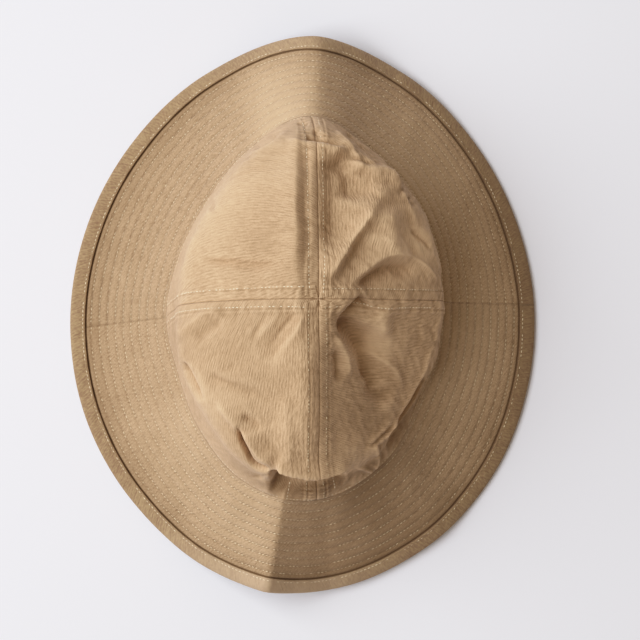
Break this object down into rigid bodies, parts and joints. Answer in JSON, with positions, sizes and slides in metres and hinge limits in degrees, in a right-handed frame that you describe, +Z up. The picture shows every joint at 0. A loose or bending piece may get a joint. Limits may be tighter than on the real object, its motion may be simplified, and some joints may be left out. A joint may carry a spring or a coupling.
{
  "type": "four-panel soft-brimmed fatigue hat",
  "caption": "Cotton twill fatigue hat with a panelled crown, a wide row-stitched brim and a bound edge, lying brim down.",
  "frame": {"origin": "on the surface the hat lies on, under the middle of its outline", "axes": "+Y towards the front of the hat, +X towards the wearer's right, +Z up through the crown"},
  "size_m": [0.2829, 0.3348, 0.115],
  "materials": {
    "crown_twill": "washed cotton twill, matt, with a soft peach fuzz",
    "brim_twill": "washed cotton twill quilted with rows of cream thread",
    "binding_twill": "washed cotton twill strip, slightly puckered"
  },
  "bodies": {
    "root": {"crown_front_left": "crown_twill", "crown_front_right": "crown_twill", "crown_back_left": "crown_twill", "crown_back_right": "crown_twill", "brim_front": "brim_twill", "brim_back": "brim_twill", "edge_binding": "binding_twill"}
  },
  "joints": []
}
